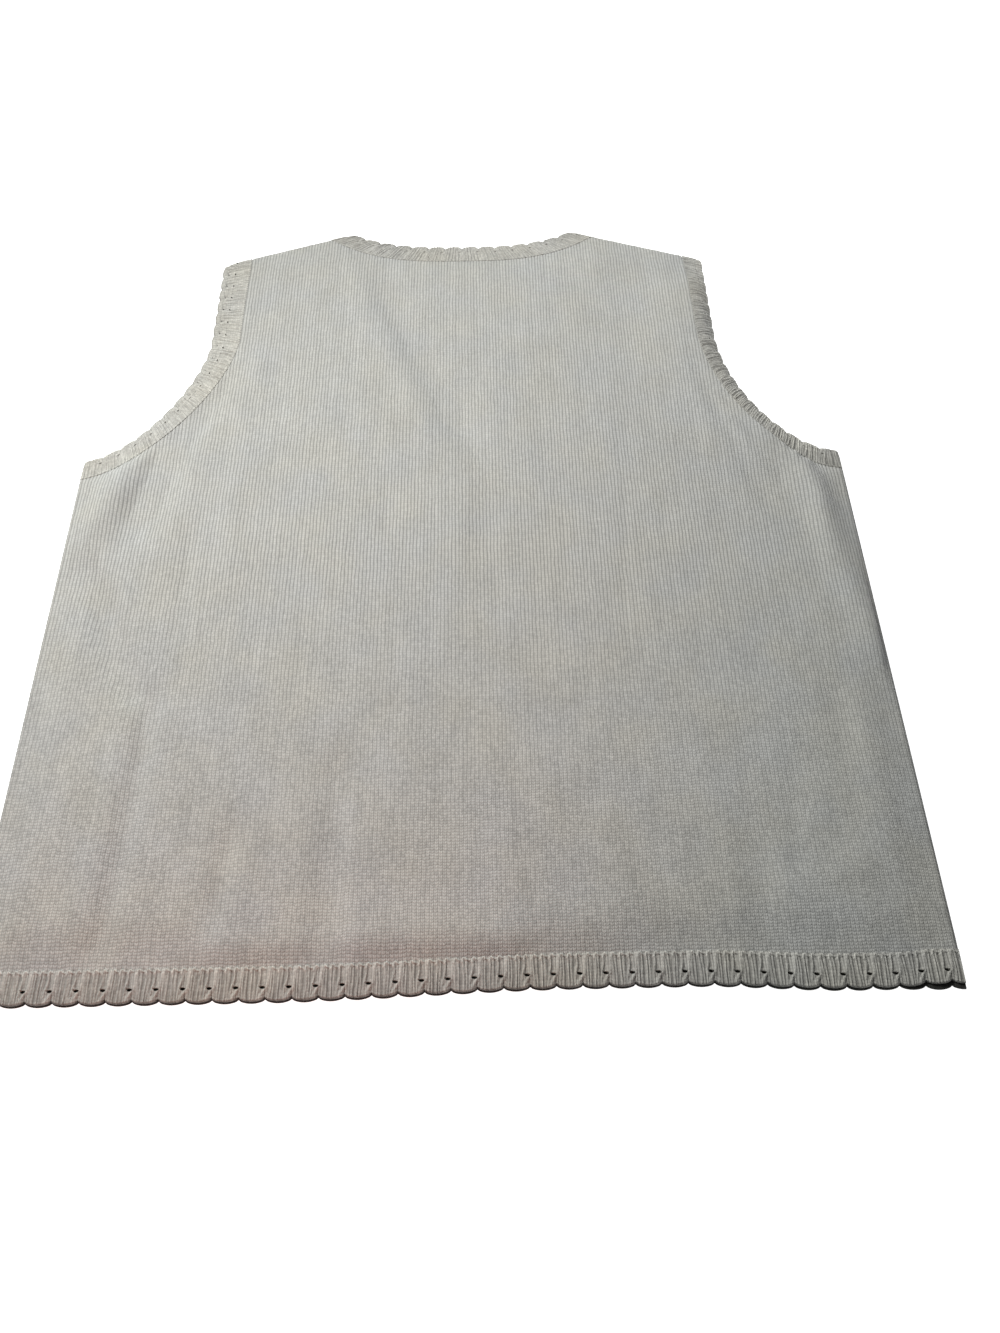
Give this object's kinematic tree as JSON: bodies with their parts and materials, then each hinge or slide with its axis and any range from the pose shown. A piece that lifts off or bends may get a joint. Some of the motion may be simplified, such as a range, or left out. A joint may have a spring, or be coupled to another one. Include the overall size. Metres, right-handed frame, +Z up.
{
  "type": "knitted sweater vest",
  "caption": "Sleeveless fine-knit vest lying flat, back upwards, with scalloped rib bands round its hem, armholes and V neck.",
  "frame": {"origin": "centre of the footprint, on the surface that the vest lies on", "axes": "+Z up through the layers, +Y towards the neck, +X to the right seen from above, which is the wearer's right"},
  "size_m": [0.501, 0.5852, 0.0112],
  "materials": {
    "jersey": "fine heather jersey knit, matt, grey-beige",
    "rib": "fine rib knit with small eyelets, matt, grey-beige"
  },
  "bodies": {
    "root": {"back_panel": "jersey", "front_panel": "jersey", "hem_band_back": "rib", "hem_band_front": "rib", "armhole_band_left_back": "rib", "armhole_band_left_front": "rib", "armhole_band_right_back": "rib", "armhole_band_right_front": "rib", "neckband_back": "rib", "neckband_front": "rib"}
  },
  "joints": []
}
